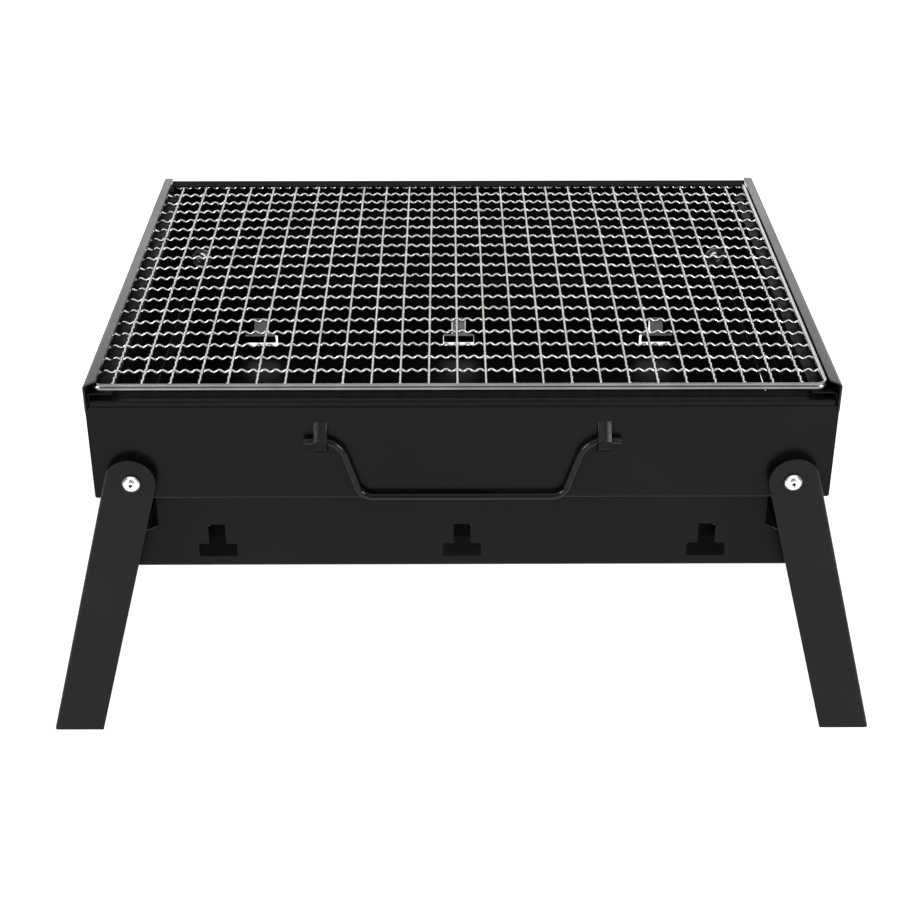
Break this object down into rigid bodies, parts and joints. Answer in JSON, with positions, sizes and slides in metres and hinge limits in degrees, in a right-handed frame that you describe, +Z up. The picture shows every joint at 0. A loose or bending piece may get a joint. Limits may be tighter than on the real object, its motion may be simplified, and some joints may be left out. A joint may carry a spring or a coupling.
{
  "type": "folding camp grill",
  "caption": "Tabletop charcoal grill in black sheet metal with a drop-down fire tray, two folding U-shaped legs, a wire carry handle and a slide-out woven wire grate.",
  "frame": {"origin": "on the ground, under the middle of the grill", "axes": "+Z up, X across the width, -Y towards the front, where the carry handle is"},
  "size_m": [0.4198, 0.286, 0.197],
  "materials": {
    "black_paint": "satin black heat-resistant paint on sheet steel",
    "handle_paint": "semi-gloss black paint on steel wire",
    "grate_chrome": "bright plated steel wire",
    "rivet_chrome": "bright plated rivet",
    "zinc_plate": "dull zinc-plated steel"
  },
  "bodies": {
    "body": {"front_wall": "black_paint", "rear_wall": "black_paint", "end_wall_left": "black_paint", "end_wall_right": "black_paint", "grate_rail_left": "black_paint", "grate_rail_right": "black_paint", "pivot_rivet_front_left": "rivet_chrome", "pivot_rivet_front_right": "rivet_chrome", "pivot_rivet_rear_left": "rivet_chrome", "pivot_rivet_rear_right": "rivet_chrome", "leg_spacer_front_left": "zinc_plate", "leg_spacer_front_right": "zinc_plate", "leg_spacer_rear_left": "zinc_plate", "leg_spacer_rear_right": "zinc_plate", "rivet_washer_front_left": "zinc_plate", "rivet_washer_front_right": "zinc_plate", "rivet_washer_rear_left": "zinc_plate", "rivet_washer_rear_right": "zinc_plate"},
    "tray": {"tray_shell": "black_paint", "tray_end_left": "black_paint", "tray_end_right": "black_paint"},
    "leg_left": {"leg_left": "black_paint"},
    "leg_right": {"leg_right": "black_paint"},
    "handle": {"carry_handle": "handle_paint"},
    "grate": {"grate_border": "grate_chrome", "grate_mesh": "grate_chrome"}
  },
  "joints": [
    {"name": "leg_left_fold", "type": "hinge", "parent": "body", "child": "leg_left", "pos_m": [-0.1572, 0, 0.1467], "axis": [0, -1, 0], "range_deg": [0, 105]},
    {"name": "leg_right_fold", "type": "hinge", "parent": "body", "child": "leg_right", "pos_m": [0.1572, 0, 0.1467], "axis": [0, 1, 0], "range_deg": [0, 105]},
    {"name": "tray_lift", "type": "slide", "parent": "body", "child": "tray", "axis": [0, 0, 1], "range_m": [0, 0.0478]},
    {"name": "handle_swing", "type": "hinge", "parent": "body", "child": "handle", "pos_m": [0, -0.1371, 0.1678], "axis": [-1, 0, 0], "range_deg": [0, 130]},
    {"name": "grate_slide", "type": "slide", "parent": "body", "child": "grate", "axis": [0, -1, 0], "range_m": [0, 0.26]}
  ],
  "couplings": [
    {"joint": "leg_right_fold", "follows": "leg_left_fold", "ratio": 1},
    {"joint": "tray_lift", "follows": "leg_left_fold", "m_per_rad": 0.02603}
  ]
}
